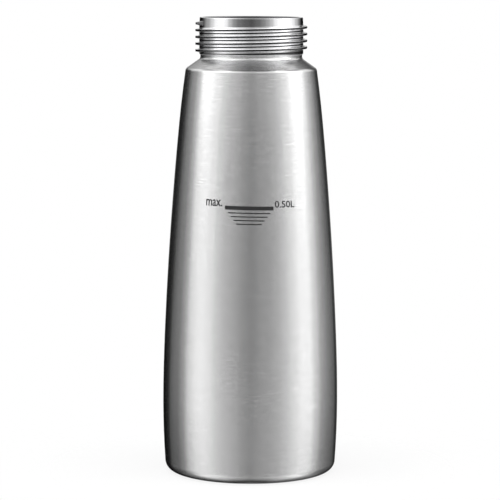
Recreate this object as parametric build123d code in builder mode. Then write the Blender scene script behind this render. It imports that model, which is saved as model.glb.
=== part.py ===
"""Bottle of a half-litre whipped cream dispenser.

A tapered body of stainless sheet with a shoulder and a short collar, a turned neck ring with the
thread that takes the head, a pressed base pan, the two weld beads that hold these together, and
the printed fill marks.

Units are millimetres and degrees. +Z is up. The bottle stands on z = 0 with its axis on the
Z axis, and the fill marks face -Y. Each piece is written to parts/ as a STEP file of its own.
"""

import os
from math import asin, degrees, radians, sin, tan

from build123d import *

# ------------------------------------------------------------------ driving dimensions

# Sheet that the body and the base pan are made of
sheet_thickness = 1.5

# Side of the body, outside: three arcs in a row from the widest point up to the shoulder
widest_radius = 39.5
widest_height = 31.5
foot_tuck = 1.25  # the side runs in by this much from the widest point down to the floor
belly_arc_radius = 625.0
belly_top_height = 54.0
side_arc_radius = 1715.0
side_top_height = 157.5
taper_arc_radius = 555.0
shoulder_height = 181.9

# Shoulder and collar
shoulder_cone_angle = 35.0  # from the horizontal
collar_height = 1.95

# Bends of the sheet, measured on the inside of each bend
foot_bend_radius = 3.1
shoulder_bend_radius = 0.5
collar_bend_radius = 1.6

# Neck ring, turned from bar
neck_bore_radius = 21.25
ring_wall = 2.0  # under the thread
ring_height = 16.3
ring_foot_chamfer = 0.15
rim_outer_chamfer = 0.3
rim_inner_chamfer = 0.3

# External thread of the neck ring: right-hand, one start, M50 x 3 with blunt teeth
thread_depth = 1.75
thread_pitch = 3.0
thread_tip_width = 0.9
thread_flank_angle = 15.0  # of each flank, from the radial direction
thread_start_gap = 1.1  # from the ring's foot up to the middle of the first strand
thread_lead_in = 2.45  # from the middle of the last strand up to the rim
thread_start_angle = 135.0  # seen from above, counter-clockwise from +X
thread_embed = 0.5  # how far the swept tooth reaches into the ring
thread_runout_sink = 0.05  # the run-out flats end this far inside the ring

# Base pan
foot_lip_width = 1.5  # flat of the body's foot between its bend and the seam
base_land_width = 3.6  # flat of the pan that stands on the table, inside the seam
base_rise = 3.4
base_rise_angle = 40.0
base_crown = 1.8  # of the dome, above the foot of the rise's upper bend
base_bend_radius = 2.0

# Weld beads
neck_weld_depth = 1.0  # into the collar's wall
neck_weld_height = 0.5
base_weld_width = 2.2  # across the bead's face, under the foot
base_weld_root = 0.8  # across the bead inside the bottle
base_weld_hollow = 0.1  # the bead's face stays this far above the table

# Printed fill marks
ink_thickness = 0.1
fill_line_height = 122.5  # level of half a litre, at the middle of the heavy line
fill_line_width = 21.2
fill_line_thickness = 1.65
scale_line_count = 4
scale_line_thickness = 0.45
scale_line_gap = 2.2  # from the heavy line to the first thin one, middle to middle
scale_line_pitch = 1.6
scale_line_width = 18.6  # of the first thin line
scale_line_step = 2.5  # each further line is this much shorter
print_shift = -0.7
print_tilt = 0.9  # the print was set on slightly askew, right end down

# ------------------------------------------------------------------ worked out from them

foot_radius = widest_radius - foot_tuck
base_seam_radius = foot_radius - foot_bend_radius - sheet_thickness - foot_lip_width
base_land_radius = base_seam_radius - base_land_width
base_floor_radius = base_land_radius - base_rise / tan(radians(base_rise_angle))

with BuildLine() as side:
    arc_start = Vector(widest_radius, widest_height)
    lean = 0.0  # of the side from the vertical, towards the axis
    for arc_top, arc_radius in (
        (belly_top_height, belly_arc_radius),
        (side_top_height, side_arc_radius),
        (shoulder_height, taper_arc_radius),
    ):
        top_lean = degrees(asin(sin(radians(lean)) + (arc_top - arc_start.Y) / arc_radius))
        arc = JernArc(arc_start, Vector(0, 1).rotate(Axis.Z, lean), arc_radius, top_lean - lean)
        arc_start = arc @ 1
        lean = top_lean
shoulder_edge = side.line @ 1

collar_radius = neck_bore_radius + sheet_thickness
cone_rise = (shoulder_edge.X - collar_radius) * tan(radians(shoulder_cone_angle))
collar_bottom = shoulder_height + cone_rise
collar_top = collar_bottom + collar_height

thread_root_radius = neck_bore_radius + ring_wall
thread_bottom = collar_top + thread_start_gap
thread_rise = ring_height - thread_start_gap - thread_lead_in


def rims(turned, level):
    """Round edges of a turned piece at one level, counted from the bottom, inner ones first."""
    levels = turned.edges().filter_by(GeomType.CIRCLE).group_by(Axis.Z)
    return levels[level].sort_by(SortBy.RADIUS)


def corner(outline, radius, height):
    """The corner of an outline that is nearest to a place in its section."""
    return outline.vertices().sort_by_distance((radius, height))[0]


# ------------------------------------------------------------------ weld beads
# Each bead fills the groove between its two pieces, so the grooves are cut with its section.

neck_groove = [
    (collar_radius - neck_weld_depth, collar_top),
    (thread_root_radius - ring_foot_chamfer, collar_top),
    (collar_radius, collar_top - neck_weld_height),
]
base_groove = [
    (base_seam_radius - base_weld_width / 2, 0),
    (base_seam_radius + base_weld_width / 2, 0),
    (base_seam_radius + base_weld_root / 2, sheet_thickness),
    (base_seam_radius - base_weld_root / 2, sheet_thickness),
]

with BuildPart() as neck_weld:
    with BuildSketch(Plane.XZ):
        with BuildLine():
            Polyline(neck_groove, close=True)
        make_face()
    revolve(axis=Axis.Z)
neck_weld.part.label = "neck_weld"

with BuildPart() as base_weld:
    with BuildSketch(Plane.XZ):
        with BuildLine():
            Polyline(base_groove, close=True)
        make_face()
    revolve(axis=Axis.Z)
    with BuildSketch():
        Circle(base_seam_radius + base_weld_width)
    extrude(amount=base_weld_hollow, mode=Mode.SUBTRACT)
base_weld.part.label = "base_weld"

# ------------------------------------------------------------------ body
# The sheet's outside line, rounded at its bends, is thickened inwards and turned about the axis.

with BuildPart() as bottle_body:
    with BuildSketch(Plane.XZ):
        with BuildLine() as body_outside:
            Line((base_seam_radius, 0), (foot_radius, 0))
            TangentArc(side.line @ 0, (foot_radius, 0), tangent=(0, -1))
            add(side.line)
            Polyline(shoulder_edge, (collar_radius, collar_bottom), (collar_radius, collar_top))
            fillet(corner(body_outside, foot_radius, 0), foot_bend_radius + sheet_thickness)
            fillet(
                corner(body_outside, shoulder_edge.X, shoulder_edge.Y),
                shoulder_bend_radius + sheet_thickness,
            )
            fillet(corner(body_outside, collar_radius, collar_bottom), collar_bend_radius)
            offset(amount=sheet_thickness, side=Side.LEFT, kind=Kind.INTERSECTION)
        make_face()
        for groove in (neck_groove, base_groove):
            with BuildLine():
                Polyline(groove, close=True)
            make_face(mode=Mode.SUBTRACT)
    revolve(axis=Axis.Z)
bottle_body.part.label = "bottle_body"

# ------------------------------------------------------------------ neck ring
# The tooth is swept along a helix, and each end of the strand runs out on a flat.


def tooth_half_width(inset):
    """Half the tooth's width at a distance in from its tip."""
    return thread_tip_width / 2 + inset * tan(radians(thread_flank_angle))


with BuildPart() as thread:
    with BuildLine() as thread_line:
        Helix(thread_pitch, thread_rise, thread_root_radius, center=(0, 0, thread_bottom))
    strand = thread_line.line
    with BuildSketch(Plane(strand @ 0, x_dir=(1, 0, 0), z_dir=strand % 0)) as tooth:
        with BuildLine():
            Polyline(
                (-thread_embed, -tooth_half_width(thread_depth + thread_embed)),
                (thread_depth, -tooth_half_width(0)),
                (thread_depth, tooth_half_width(0)),
                (-thread_embed, tooth_half_width(thread_depth + thread_embed)),
                close=True,
            )
        make_face()
    sweep(path=strand, is_frenet=True)

    for strand_end in (strand @ 0, strand @ 1):
        outward = Vector(strand_end.X, strand_end.Y, 0).normalized()
        runout = Plane(strand_end - outward * thread_runout_sink, x_dir=(0, 0, 1), z_dir=outward)
        with BuildSketch(runout):
            Rectangle(thread_pitch, 2 * thread_root_radius)
        extrude(amount=2 * thread_depth, mode=Mode.SUBTRACT)

with BuildPart() as neck_ring:
    with BuildSketch(Plane.XY.offset(collar_top)):
        Circle(thread_root_radius)
        Circle(neck_bore_radius, mode=Mode.SUBTRACT)
    extrude(amount=ring_height)
    chamfer(rims(neck_ring, 0)[-1], ring_foot_chamfer)
    chamfer(rims(neck_ring, -1)[-1], rim_outer_chamfer)
    chamfer(rims(neck_ring, -1)[0], rim_inner_chamfer)
    add(thread.part, rotation=(0, 0, thread_start_angle))
neck_ring.part.label = "neck_ring"

# ------------------------------------------------------------------ base pan
# Pressed from sheet: a level land to stand on, a rise all round and a domed middle.

with BuildPart() as base_pan:
    with BuildSketch(Plane.XZ):
        with BuildLine() as pan_underside:
            Polyline((base_seam_radius, 0), (base_land_radius, 0), (base_floor_radius, base_rise))
            TangentArc((0, base_rise + base_crown), (base_floor_radius, base_rise), tangent=(1, 0))
            fillet(corner(pan_underside, base_land_radius, 0), base_bend_radius)
            fillet(corner(pan_underside, base_floor_radius, base_rise), base_bend_radius)
            offset(amount=sheet_thickness, side=Side.RIGHT)
        make_face()
        with BuildLine():
            Polyline(base_groove, close=True)
        make_face(mode=Mode.SUBTRACT)
    revolve(axis=Axis.Z)
base_pan.part.label = "base_pan"

# ------------------------------------------------------------------ printed fill marks
# Films of ink that lie on the tapered side: bars projected from the front onto a thin skin.

print_plane = Plane(
    (print_shift, 0, fill_line_height),
    x_dir=Vector(1, 0, 0).rotate(Axis.Y, print_tilt),
    z_dir=(0, -1, 0),
)

with BuildPart() as ink_skin:
    with BuildSketch(Plane.XZ):
        with BuildLine():
            middle_arc = side.edges().sort_by(Axis.Y)[1]
            offset(middle_arc, amount=ink_thickness, side=Side.RIGHT)
        make_face()
    revolve(axis=Axis.Z)

with BuildPart() as max_fill_line:
    add(ink_skin.part)
    with BuildSketch(print_plane):
        Rectangle(fill_line_width, fill_line_thickness)
    extrude(amount=2 * widest_radius, mode=Mode.INTERSECT)
max_fill_line.part.label = "max_fill_line"

with BuildPart() as fill_scale_lines:
    add(ink_skin.part)
    with BuildSketch(print_plane):
        for line in range(scale_line_count):
            with Locations((0, -scale_line_gap - line * scale_line_pitch)):
                Rectangle(scale_line_width - line * scale_line_step, scale_line_thickness)
    extrude(amount=2 * widest_radius, mode=Mode.INTERSECT)
fill_scale_lines.part.label = "fill_scale_lines"

# ------------------------------------------------------------------ export

pieces = [bottle_body, neck_ring, base_pan, neck_weld, base_weld, max_fill_line, fill_scale_lines]
os.makedirs("parts", exist_ok=True)
for piece in pieces:
    export_step(piece.part, f"parts/{piece.part.label}.step")
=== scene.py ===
from math import cos, pi, radians, sin, tan

import bmesh
import bpy
from mathutils import Matrix, Vector
from mathutils.bvhtree import BVHTree


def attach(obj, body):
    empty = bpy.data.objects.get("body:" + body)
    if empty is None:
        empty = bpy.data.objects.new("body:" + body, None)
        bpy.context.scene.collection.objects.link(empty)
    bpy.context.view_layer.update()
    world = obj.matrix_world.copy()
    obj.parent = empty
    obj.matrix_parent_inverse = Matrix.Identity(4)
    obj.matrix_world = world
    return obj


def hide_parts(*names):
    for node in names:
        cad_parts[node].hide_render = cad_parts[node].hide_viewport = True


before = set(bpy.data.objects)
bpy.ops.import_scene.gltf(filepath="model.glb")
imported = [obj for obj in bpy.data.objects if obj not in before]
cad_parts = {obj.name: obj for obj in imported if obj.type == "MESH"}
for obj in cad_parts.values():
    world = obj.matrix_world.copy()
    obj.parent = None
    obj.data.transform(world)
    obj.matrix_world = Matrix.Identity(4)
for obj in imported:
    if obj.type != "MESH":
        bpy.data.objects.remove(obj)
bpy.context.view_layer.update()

# ---------------------------------------------------------------- bottle body
# The body is drawn and spun from 1.5 mm stainless sheet, and then brushed round its axis on a
# lathe. The brushing leaves fine level strokes, which stretch every reflection up and down.

body_grey = (0.7, 0.7, 0.7)
body_roughness = 0.2
body_stretch = 1.0

grain_low, grain_high = 0.3, 0.7  # nearly all the grain of a noise lies between these levels
gloss_waver = 0.04
quarter_turn = 0.25


def strokes(height, length, depth, contrast, start=grain_low):
    """One set of strokes: their size and depth, how far they tint the steel, and the level of
    grain from which they show."""
    return height, length, depth, contrast, start


def brushed_steel(name, grey, roughness, stretch, stroke_sets):
    """Stainless steel with sets of level strokes round the Z axis.

    Each set tints the steel and dents it. The gloss wavers with the grain of the last set.
    """
    steel = bpy.data.materials.new(name)
    steel.use_nodes = True
    nodes, links = steel.node_tree.nodes, steel.node_tree.links
    shader = nodes["Principled BSDF"]
    shader.inputs["Metallic"].default_value = 1.0
    shader.inputs["Anisotropic"].default_value = stretch
    shader.inputs["Anisotropic Rotation"].default_value = quarter_turn

    round_axis = nodes.new("ShaderNodeTangent")
    round_axis.direction_type = "RADIAL"
    round_axis.axis = "Z"
    links.new(round_axis.outputs["Tangent"], shader.inputs["Tangent"])

    place = nodes.new("ShaderNodeTexCoord")
    shade, relief = None, None
    for height, length, depth, contrast, start in stroke_sets:
        squeeze = nodes.new("ShaderNodeMapping")
        squeeze.inputs["Scale"].default_value = (1 / length, 1 / length, 1 / height)
        links.new(place.outputs["Object"], squeeze.inputs["Vector"])
        grain = nodes.new("ShaderNodeTexNoise")
        grain.inputs["Scale"].default_value = 1.0
        links.new(squeeze.outputs["Vector"], grain.inputs["Vector"])

        tone = nodes.new("ShaderNodeMapRange")
        tone.inputs["From Min"].default_value = start
        tone.inputs["From Max"].default_value = grain_high
        tone.inputs["To Min"].default_value = 1.0 - contrast
        tone.inputs["To Max"].default_value = 1.0 + contrast
        links.new(grain.outputs["Fac"], tone.inputs["Value"])
        tint = nodes.new("ShaderNodeVectorMath")
        tint.operation = "SCALE"
        tint.inputs[0].default_value = grey
        if shade:
            links.new(shade, tint.inputs[0])
        links.new(tone.outputs["Result"], tint.inputs["Scale"])
        shade = tint.outputs["Vector"]

        bump = nodes.new("ShaderNodeBump")
        bump.inputs["Strength"].default_value = 1.0
        bump.inputs["Distance"].default_value = depth
        links.new(grain.outputs["Fac"], bump.inputs["Height"])
        if relief:
            links.new(relief, bump.inputs["Normal"])
        relief = bump.outputs["Normal"]
    links.new(shade, shader.inputs["Base Color"])
    links.new(relief, shader.inputs["Normal"])

    gloss = nodes.new("ShaderNodeMapRange")
    gloss.inputs["From Min"].default_value = grain_low
    gloss.inputs["From Max"].default_value = grain_high
    gloss.inputs["To Min"].default_value = roughness * (1.0 - gloss_waver)
    gloss.inputs["To Max"].default_value = roughness * (1.0 + gloss_waver)
    links.new(grain.outputs["Fac"], gloss.inputs["Value"])
    links.new(gloss.outputs["Result"], shader.inputs["Roughness"])
    return steel


def dress(node, finish):
    """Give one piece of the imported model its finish."""
    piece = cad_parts[node]
    piece.data.materials.clear()
    piece.data.materials.append(finish)
    return piece


body_strokes = [
    strokes(height=0.0004, length=0.006, depth=0.000016, contrast=0.05, start=0.6),
    strokes(height=0.0005, length=0.004, depth=0.00002, contrast=0.026),
    strokes(height=0.00012, length=0.012, depth=0.000001, contrast=0.02),
]
body_steel = brushed_steel("body_steel", body_grey, body_roughness, body_stretch, body_strokes)
body = dress("bottle_body", body_steel)

# ---------------------------------------------------------------- base pan
# The pan is pressed from the same sheet and closes the body from below. It is left as it comes
# from the press, so its strokes are shallower and its gloss is duller than the body's.

pan_grey = (0.62, 0.62, 0.63)
pan_roughness = 0.33
pan_stretch = 0.5
pan_strokes = [
    strokes(height=0.0002, length=0.01, depth=0.000002, contrast=0.04),
    strokes(height=0.0006, length=0.005, depth=0.00001, contrast=0.03),
]
dress("base_pan", brushed_steel("base_steel", pan_grey, pan_roughness, pan_stretch, pan_strokes))

# ---------------------------------------------------------------- neck ring
# The ring is turned from stainless bar and its M50 x 3 thread is cut on the same lathe, with a
# flat where each end of the strand runs out. It is polished until it shines almost like a
# mirror, and only faint turning marks run round it.

ring_foot = 0.18845
ring_top = 0.20475
bore_radius = 0.02125
root_radius = 0.02325
foot_easing = 0.00025
bore_easing = 0.00015
rim_bevel = 0.0003

thread_pitch = 0.003
thread_turns = 4.2
thread_start_height = 0.18955
thread_start_angle = radians(135.0)
tooth_depth = 0.00175
flank_angle = radians(15.0)
tip_half_width = 0.00045
root_half_width = tip_half_width + tooth_depth * tan(flank_angle)
tip_rounding = 0.00012
root_rounding = 0.00035
lead_in_start = 0.20035
lead_in_taper = 0.05
runout_sink = 0.00005
least_cosine = 0.1  # keeps the reach of a run-out flat finite, far outside the tooth
flat_margin = 0.00002  # beside each eased corner
thread_floor = ring_foot + foot_easing + flat_margin
thread_ceiling = ring_top - rim_bevel - flat_margin
columns = 192  # of the mesh in one turn
arc_steps = 4
merge_distance = 0.000002
sharp_angle = radians(32.0)

ring_grey = (0.87, 0.87, 0.88)
ring_roughness = 0.05
# The bore takes a darker grey than the ring: painted shade for the dim inside of the mouth, not a
# different steel.
painted_shade_bore_grey = (0.25, 0.25, 0.26)
bore_roughness = 0.4
lathe_stretch = 0.3
turning_marks = [
    strokes(height=0.0001, length=0.02, depth=0.0000003, contrast=0.02),
    strokes(height=0.0003, length=0.01, depth=0.0000006, contrast=0.02),
]
boring_marks = [
    strokes(height=0.0001, length=0.02, depth=0.000001, contrast=0.03),
    strokes(height=0.0003, length=0.01, depth=0.000002, contrast=0.03),
]


def eased(outline, roundings):
    """An outline whose inner corners are replaced by arcs of the given radii.

    A margin beside each arc keeps the flat beyond it truly flat when the model is smoothed.
    """
    points = [Vector(outline[0])]
    for before, at, after, rounding in zip(outline, outline[1:], outline[2:], roundings):
        at = Vector(at)
        back, ahead = (Vector(before) - at).normalized(), (Vector(after) - at).normalized()
        half = back.angle(ahead) / 2
        centre = at + (back + ahead).normalized() * rounding / sin(half)
        first = at + back * rounding / tan(half) - centre
        last = at + ahead * rounding / tan(half) - centre
        points.append(centre + first + back * flat_margin)
        for step in range(arc_steps + 1):
            points.append(centre + first.slerp(last, step / arc_steps) * rounding)
        points.append(centre + last + ahead * flat_margin)
    points.append(Vector(outline[-1]))
    return points


def about_axis(radius, angle, height):
    """A place about the bottle's axis, from its distance, its angle and its height."""
    return radius * cos(angle), radius * sin(angle), height


def lead_in(height):
    """How far the ring tapers in at a height, to guide the head onto the thread."""
    return max(min(height, thread_ceiling) - lead_in_start, 0) * lead_in_taper


def reach_of_strand(turn_angle):
    """How far out the tooth may stand, at an angle round the axis from the strand's start."""
    from_end = min(turn_angle, thread_turns * 2 * pi - turn_angle)
    if from_end <= 0:
        return root_radius
    return (root_radius - runout_sink) / max(cos(min(from_end, pi / 2)), least_cosine)


tooth = eased(
    [
        (-thread_pitch / 2, 0), (-root_half_width, 0), (-tip_half_width, tooth_depth),
        (tip_half_width, tooth_depth), (root_half_width, 0), (thread_pitch / 2, 0),
    ],
    [root_rounding, tip_rounding, tip_rounding, root_rounding],
)
ring_model = bmesh.new()

# The tooth is carried round and up the ring, with half a groove on each side of it. Before the
# strand starts and after it ends, the same columns lie flat on the plain wall.
strand_columns = []
last_column = int((thread_ceiling - thread_start_height + thread_pitch) / thread_pitch * columns)
for column in range(-columns, last_column + 1):
    turn_angle = column * 2 * pi / columns
    middle = thread_start_height + column * thread_pitch / columns
    reach = reach_of_strand(turn_angle)
    strand_columns.append(
        [
            ring_model.verts.new(
                about_axis(
                    max(root_radius, min(root_radius + rise, reach)) - lead_in(middle + along),
                    thread_start_angle + turn_angle,
                    min(max(middle + along, thread_floor), thread_ceiling),
                )
            )
            for along, rise in tooth
        ]
    )
for here, beyond in zip(strand_columns, strand_columns[1:]):
    for row in range(len(tooth) - 1):
        ring_model.faces.new((here[row], beyond[row], beyond[row + 1], here[row + 1]))

# The rim, the bore and the foot are plain turned faces. They close the ring.
rim_radius = root_radius - lead_in(thread_ceiling)
rim = eased(
    [
        (rim_radius, thread_ceiling), (rim_radius, ring_top), (bore_radius, ring_top),
        (bore_radius, ring_foot), (root_radius, ring_foot), (root_radius, thread_floor),
    ],
    [rim_bevel, rim_bevel, bore_easing, foot_easing],
)
lathe_columns = [
    [
        ring_model.verts.new(
            about_axis(radius, thread_start_angle + column * 2 * pi / columns, height)
        )
        for radius, height in rim
    ]
    for column in range(columns)
]
for column in range(columns):
    here, beyond = lathe_columns[column - 1], lathe_columns[column]
    for row in range(len(rim) - 1):
        band = ring_model.faces.new((here[row], beyond[row], beyond[row + 1], here[row + 1]))
        # Faces of the bore take the second finish, whose darker grey is painted shade for the
        # inside of the mouth.
        if max(rim[row][0], rim[row + 1][0]) < bore_radius + rim_bevel:
            band.material_index = 1

bmesh.ops.remove_doubles(ring_model, verts=ring_model.verts, dist=merge_distance)
bmesh.ops.dissolve_degenerate(ring_model, edges=ring_model.edges, dist=merge_distance)
bmesh.ops.recalc_face_normals(ring_model, faces=ring_model.faces)
ring_mesh = bpy.data.meshes.new("threaded_neck_ring")
ring_model.to_mesh(ring_mesh)
ring_model.free()
ring_mesh.shade_smooth()
ring_mesh.set_sharp_from_angle(angle=sharp_angle)
ring_mesh.materials.append(
    brushed_steel("ring_steel", ring_grey, ring_roughness, lathe_stretch, turning_marks)
)
# The second finish is the bore's painted shade: the same steel, coloured darker.
ring_mesh.materials.append(
    brushed_steel("bore_painted_shade_steel", painted_shade_bore_grey, bore_roughness, lathe_stretch, boring_marks)
)
ring = bpy.data.objects.new("threaded_neck_ring", ring_mesh)
bpy.context.scene.collection.objects.link(ring)
flat_faces = ring.modifiers.new("flat_faces", "WEIGHTED_NORMAL")
flat_faces.weight = 100
flat_faces.keep_sharp = True
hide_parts("neck_ring")
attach(ring, "root")

# ---------------------------------------------------------------- weld beads
# One bead joins the neck ring to the collar, the other the pan to the body's foot. Both are
# fused from the steel itself and cleaned bright, and keep a fine ripple.

bead_grey = (0.9, 0.9, 0.91)
bead_roughness = 0.42
bead_stretch = 0.2
bead_ripples = [
    strokes(height=0.0006, length=0.0012, depth=0.00001, contrast=0.12),
    strokes(height=0.0003, length=0.0003, depth=0.000003, contrast=0.06),
]
weld_steel = brushed_steel("weld_steel", bead_grey, bead_roughness, bead_stretch, bead_ripples)
for bead in ("neck_weld", "base_weld"):
    dress(bead, weld_steel)

# ---------------------------------------------------------------- fill marks
# The level lines are screen-printed on the body in black ink, with the words beside the heavy
# line. The ink lies on the steel, up to a tenth of a millimetre thick.

word_height = 0.00286
word_baseline = 0.12292
word_tilt = radians(0.9)
word_boldness = 0.012
print_radius = 0.0366  # of the body's side at the words
ink_thickness = 0.00006
beyond_side = 0.1  # a distance from the axis that lies well outside the body
sorting_way = Vector((1.0, 10.0, 100.0))

ink_roughness = 0.5
ink_black = (0.008, 0.008, 0.009, 1)
ink_worn = (0.022, 0.022, 0.023, 1)
ink_grain_size = 0.0004

ink = bpy.data.materials.new("fill_mark_ink")
ink.use_nodes = True
ink_nodes, ink_links = ink.node_tree.nodes, ink.node_tree.links
ink_shader = ink_nodes["Principled BSDF"]
ink_shader.inputs["Roughness"].default_value = ink_roughness
ink_place = ink_nodes.new("ShaderNodeTexCoord")
ink_grain = ink_nodes.new("ShaderNodeTexNoise")
ink_grain.inputs["Scale"].default_value = 1 / ink_grain_size
ink_links.new(ink_place.outputs["Object"], ink_grain.inputs["Vector"])
ink_cover = ink_nodes.new("ShaderNodeValToRGB")
ink_cover.color_ramp.elements[0].color = ink_black
ink_cover.color_ramp.elements[1].color = ink_worn
ink_links.new(ink_grain.outputs["Fac"], ink_cover.inputs["Fac"])
ink_links.new(ink_cover.outputs["Color"], ink_shader.inputs["Base Color"])
for mark in ("max_fill_line", "fill_scale_lines"):
    dress(mark, ink)

steel_side = BVHTree.FromObject(body, bpy.context.evaluated_depsgraph_get())


def on_side(along, height):
    """A place on the body's side: an arc length round it from the front, and a height."""
    outward = Vector((sin(along / print_radius), -cos(along / print_radius), 0))
    start = outward * beyond_side + Vector((0, 0, height))
    return steel_side.ray_cast(start, -outward)[0], outward


def printed_words(name, words, left, right):
    """Words of ink wrapped round the body's side between two arc lengths from the front."""
    lettering = bpy.data.curves.new(name, "FONT")
    lettering.body = words
    lettering.offset = word_boldness
    writing = bpy.data.objects.new(name, lettering)
    bpy.context.scene.collection.objects.link(writing)
    bpy.context.view_layer.update()
    written = writing.evaluated_get(bpy.context.evaluated_depsgraph_get())
    flat = bpy.data.meshes.new_from_object(written)
    bpy.data.objects.remove(writing)
    from_left = min(point.co.x for point in flat.vertices)
    to_right = max(point.co.x for point in flat.vertices)
    to_top = max(point.co.y for point in flat.vertices)

    letters = bmesh.new()
    letters.from_mesh(flat)
    front = bmesh.ops.extrude_face_region(letters, geom=letters.faces[:])["geom"]
    raised = {point for point in front if isinstance(point, bmesh.types.BMVert)}
    for point in letters.verts:
        along = left + (point.co.x - from_left) / (to_right - from_left) * (right - left)
        up = point.co.y / to_top * word_height
        height = word_baseline + up * cos(word_tilt) - along * sin(word_tilt)
        spot, outward = on_side(along, height)
        point.co = spot + outward * (ink_thickness if point in raised else -ink_thickness / 2)
    bmesh.ops.recalc_face_normals(letters, faces=letters.faces)
    # The raising leaves the side faces in a chance order, so they are sorted.
    letters.faces.sort(key=lambda face: face.calc_center_median().dot(sorting_way))
    letters.to_mesh(flat)
    letters.free()
    flat.materials.append(ink)
    print_piece = bpy.data.objects.new(name, flat)
    bpy.context.scene.collection.objects.link(print_piece)
    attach(print_piece, "root")


printed_words("max_word", "max.", left=-0.0216, right=-0.0133)
printed_words("half_litre_words", "0.50L", left=0.0111, right=0.0210)

# ---------------------------------------------------------------- studio
# The bottle stands on a pale floor under a white sky. Its steel mirrors two tall soft boxes at
# the sides, two strips of light overhead and the dim gaps between them. A narrow dark band all
# round, just below eye level, draws the dark lines of the thread.

# Light by bearing, in degrees from the front towards +X: at the level of the lens, on the walls
# above and below it, and on the cornice between the walls and the ceiling
lens_levels = (
    (-180, 0.7), (-172, 0.3), (-160, 0.03), (-148, 0.03), (-136, 0.06), (-112, 0.34),
    (-96, 0.62), (-86, 0.82), (-68, 0.85), (-58, 0.68), (-48, 0.38), (-38, 0.2), (-28, 0.12),
    (-12, 0.08), (0, 0.06), (16, 0.1), (28, 0.17), (36, 0.26), (46, 0.4), (56, 0.66),
    (66, 0.84), (76, 0.95), (98, 0.95), (108, 0.8), (118, 0.5), (134, 0.22), (152, 0.06),
    (163, 0.1), (173, 0.35), (180, 0.7),
)
wall_levels = (
    (-180, 0.5), (-172, 0.05), (-160, 0.0), (-140, 0.02), (-129, 0.2), (-114, 0.25),
    (-102, 0.48), (-88, 1.35), (-77, 1.8), (-67, 1.9), (-57, 1.75), (-46, 1.42),
    (-32, 1.14), (-20, 0.95), (-10, 0.74), (0, 0.64), (20, 0.81), (37, 0.97), (47, 1.2),
    (62, 1.6), (73, 1.95), (86, 1.9), (98, 1.1), (111, 0.49), (128, 0.31), (146, 0.18),
    (154, 0.03), (163, 0.06), (172, 0.25), (180, 0.5),
)
cornice_levels = (
    (-180, 0.4), (-165, 0.4), (-150, 0.6), (-135, 1.3), (135, 1.3), (150, 0.1), (165, 0.1),
    (180, 0.4),
)
# Light on the walls by height, from straight down at -1 to straight up at 1
front_heights = (
    (-1.0, 0.02), (-0.9, 0.35), (-0.72, 0.5), (-0.64, 0.95), (-0.54, 0.95), (-0.46, 0.36),
    (-0.25, 0.46), (-0.17, 0.85), (-0.1, 1.55), (0.12, 1.5), (0.2, 0.65), (0.38, 0.45),
    (0.46, 1.5), (0.76, 1.5), (0.86, 0.2), (1.0, 0.0),
)
side_heights = (
    (-1.0, 0.02), (-0.93, 0.3), (-0.64, 0.75), (-0.5, 0.36), (-0.3, 0.4), (-0.18, 0.66),
    (-0.1, 1.5), (0.02, 1.2), (0.1, 1.2), (0.16, 1.8), (0.24, 2.5), (0.42, 2.5), (0.5, 2.2),
    (1.0, 2.2),
)
# Light across the ceiling, by how far towards +X a place on it lies for each unit of height
ceiling_levels = (
    (-1.4, 0.6), (-0.95, 0.7), (-0.8, 0.3), (-0.66, 0.3), (-0.58, 1.25), (-0.48, 1.25),
    (-0.4, 0.3), (0.0, 0.03), (0.4, 0.2), (0.5, 1.3), (0.58, 1.3), (0.66, 0.25),
    (0.9, 0.08), (1.2, 0.1), (1.4, 0.3),
)

# Where one light gives way to the next: each pair is the place where that starts and where it ends
lens_height = 0.02
lens_to_wall = (0.09, 0.14)
front_to_side = (60.0, 105.0)
dark_band_height = -0.03
dark_band_to_wall = (0.03, 0.05)
dark_band_share = 0.07
wall_to_ceiling = (0.5, 0.62)
ceiling_drop = 0.4  # the edge of the ceiling hangs lower behind the bottle, by this share
cornice_to_ceiling = (0.58, 0.72)
lowest_ceiling = 0.05

lamp_size = 1.2
lamp_watts = 9.0
lamp_height = 1.5

floor_radius = 0.14
floor_fade_start = 0.06
floor_corners = 96
floor_pale = (0.92, 0.92, 0.92, 1)
floor_glow = 0.8


def reckon(tree, operation, *values):
    """One sum in a node tree, from numbers and the sockets that values come from."""
    node = tree.nodes.new("ShaderNodeMath")
    node.operation = operation
    for socket, value in zip(node.inputs, values):
        if isinstance(value, float):
            socket.default_value = value
        else:
            tree.links.new(value, socket)
    return node.outputs["Value"]


def off_centre(tree, value, centre):
    """How far a value lies from a centre, to either side."""
    return reckon(tree, "ABSOLUTE", reckon(tree, "SUBTRACT", value, centre))


def between(tree, value, start, end):
    """How far a value has come from a start to an end, eased, from 0 to 1."""
    node = tree.nodes.new("ShaderNodeMapRange")
    node.interpolation_type = "SMOOTHSTEP"
    node.inputs["From Min"].default_value = start
    node.inputs["From Max"].default_value = end
    tree.links.new(value, node.inputs["Value"])
    return node.outputs["Result"]


def light_along(tree, value, levels):
    """Light levels along a value, from its first stop to its last."""
    start, end = levels[0][0], levels[-1][0]
    spread = tree.nodes.new("ShaderNodeMapRange")
    spread.inputs["From Min"].default_value = start
    spread.inputs["From Max"].default_value = end
    tree.links.new(value, spread.inputs["Value"])
    ramp = tree.nodes.new("ShaderNodeValToRGB")
    ramp.color_ramp.interpolation = "EASE"
    ramp.color_ramp.elements.remove(ramp.color_ramp.elements[-1])
    for number, (stop, level) in enumerate(levels):
        if number > 0:
            ramp.color_ramp.elements.new((stop - start) / (end - start))
        ramp.color_ramp.elements[number].color = (level, level, level, 1)
    tree.links.new(spread.outputs["Result"], ramp.inputs["Fac"])
    return ramp.outputs["Color"]


def blended(tree, share, first, second):
    """The first value, or the second where the share is 1."""
    node = tree.nodes.new("ShaderNodeMix")
    tree.links.new(share, node.inputs["Factor"])
    tree.links.new(first, node.inputs["A"])
    tree.links.new(second, node.inputs["B"])
    return node.outputs["Result"]


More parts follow.
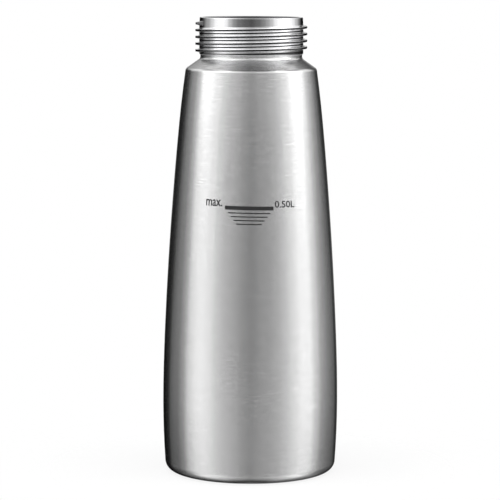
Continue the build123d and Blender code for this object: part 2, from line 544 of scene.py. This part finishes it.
world = bpy.data.worlds.new("studio")
bpy.context.scene.world = world
world.use_nodes = True
sky = world.node_tree
sky.nodes.clear()
way = sky.nodes.new("ShaderNodeTexCoord")
towards = sky.nodes.new("ShaderNodeSeparateXYZ")
sky.links.new(way.outputs["Generated"], towards.inputs["Vector"])
sideways, backwards, upwards = (towards.outputs[axis] for axis in "XYZ")
forwards = reckon(sky, "MULTIPLY", backwards, -1.0)
bearing = reckon(sky, "DEGREES", reckon(sky, "ARCTAN2", sideways, forwards))

walls = blended(
    sky, between(sky, off_centre(sky, upwards, lens_height), *lens_to_wall),
    light_along(sky, bearing, lens_levels), light_along(sky, bearing, wall_levels),
)
heights = blended(
    sky, between(sky, reckon(sky, "ABSOLUTE", bearing), *front_to_side),
    light_along(sky, upwards, front_heights), light_along(sky, upwards, side_heights),
)
lit_walls = blended(
    sky, between(sky, off_centre(sky, upwards, dark_band_height), *dark_band_to_wall),
    reckon(sky, "MULTIPLY", walls, dark_band_share), reckon(sky, "MULTIPLY", walls, heights),
)
overhead = reckon(sky, "DIVIDE", sideways, reckon(sky, "MAXIMUM", upwards, lowest_ceiling))
ceiling = blended(
    sky, between(sky, upwards, *cornice_to_ceiling),
    light_along(sky, bearing, cornice_levels), light_along(sky, overhead, ceiling_levels),
)
drop = reckon(sky, "MINIMUM", reckon(sky, "MULTIPLY", backwards, ceiling_drop), backwards)
above_walls = between(sky, reckon(sky, "ADD", upwards, drop), *wall_to_ceiling)
studio_light = blended(sky, above_walls, lit_walls, ceiling)

panels = sky.nodes.new("ShaderNodeBackground")
sky.links.new(studio_light, panels.inputs["Color"])
white = sky.nodes.new("ShaderNodeBackground")
white.inputs["Color"].default_value = (1, 1, 1, 1)
sky_ray = sky.nodes.new("ShaderNodeLightPath")
sky_choice = sky.nodes.new("ShaderNodeMixShader")
sky.links.new(sky_ray.outputs["Is Camera Ray"], sky_choice.inputs["Fac"])
sky.links.new(panels.outputs["Background"], sky_choice.inputs[1])
sky.links.new(white.outputs["Background"], sky_choice.inputs[2])
sky_out = sky.nodes.new("ShaderNodeOutputWorld")
sky.links.new(sky_choice.outputs["Shader"], sky_out.inputs["Surface"])

fill_lamp_data = bpy.data.lights.new("fill_lamp", "AREA")
fill_lamp_data.size = lamp_size
fill_lamp_data.energy = lamp_watts
fill_lamp = bpy.data.objects.new("fill_lamp", fill_lamp_data)
fill_lamp.location = (0.0, 0.0, lamp_height)
fill_lamp.visible_glossy = False
bpy.context.scene.collection.objects.link(fill_lamp)

floor_mesh = bpy.data.meshes.new("floor")
floor_edge = [
    about_axis(floor_radius, corner * 2 * pi / floor_corners, 0.0)
    for corner in range(floor_corners)
]
floor_mesh.from_pydata(floor_edge, [], [tuple(range(floor_corners))])
floor = bpy.data.objects.new("floor", floor_mesh)
bpy.context.scene.collection.objects.link(floor)
table_top = bpy.data.materials.new("table_top")
table_top.use_nodes = True
table = table_top.node_tree
table.nodes.clear()
matte = table.nodes.new("ShaderNodeBsdfDiffuse")
matte.inputs["Color"].default_value = floor_pale
glow = table.nodes.new("ShaderNodeEmission")
clear = table.nodes.new("ShaderNodeBsdfTransparent")
table_place = table.nodes.new("ShaderNodeTexCoord")
distance = table.nodes.new("ShaderNodeVectorMath")
distance.operation = "LENGTH"
table.links.new(table_place.outputs["Object"], distance.inputs[0])
ray = table.nodes.new("ShaderNodeLightPath").outputs
direct = reckon(table, "MAXIMUM", ray["Is Camera Ray"], ray["Is Glossy Ray"])
seen = reckon(table, "MAXIMUM", direct, ray["Is Transmission Ray"])
surface = table.nodes.new("ShaderNodeMixShader")
table.links.new(reckon(table, "MULTIPLY", seen, floor_glow), surface.inputs["Fac"])
table.links.new(matte.outputs["BSDF"], surface.inputs[1])
table.links.new(glow.outputs["Emission"], surface.inputs[2])
soft_edge = table.nodes.new("ShaderNodeMixShader")
edge_fade = between(table, distance.outputs["Value"], floor_fade_start, floor_radius)
table.links.new(edge_fade, soft_edge.inputs["Fac"])
table.links.new(surface.outputs["Shader"], soft_edge.inputs[1])
table.links.new(clear.outputs["BSDF"], soft_edge.inputs[2])
table_out = table.nodes.new("ShaderNodeOutputMaterial")
table.links.new(soft_edge.outputs["Shader"], table_out.inputs["Surface"])
floor_mesh.materials.append(table_top)
floor.visible_glossy = False

# ---------------------------------------------------------------- camera
# The camera stands well back behind a long lens, a little higher than the bottle's mouth, and
# looks slightly down on its middle. It leans over by a small part of a degree.

lens_length = 179.93
film_width = 36.0
camera_place = Vector((-0.0003, -1.12, 0.2307))
camera_aim = Vector((-0.0003, 0.0, 0.1001))
camera_roll = radians(0.17)

camera_data = bpy.data.cameras.new("camera")
camera_data.sensor_width = film_width
camera_data.lens = lens_length
camera = bpy.data.objects.new("camera", camera_data)
bpy.context.scene.collection.objects.link(camera)
bpy.context.scene.camera = camera
look = (camera_aim - camera_place).normalized()
level = look.cross(Vector((0, 0, 1))).normalized()
upright = level.cross(look)
right = level * cos(camera_roll) + upright * sin(camera_roll)
upward = upright * cos(camera_roll) - level * sin(camera_roll)
turned = Matrix((right, upward, -look)).transposed()
camera.matrix_world = Matrix.Translation(camera_place) @ turned.to_4x4()
bpy.context.scene.view_settings.view_transform = "Standard"
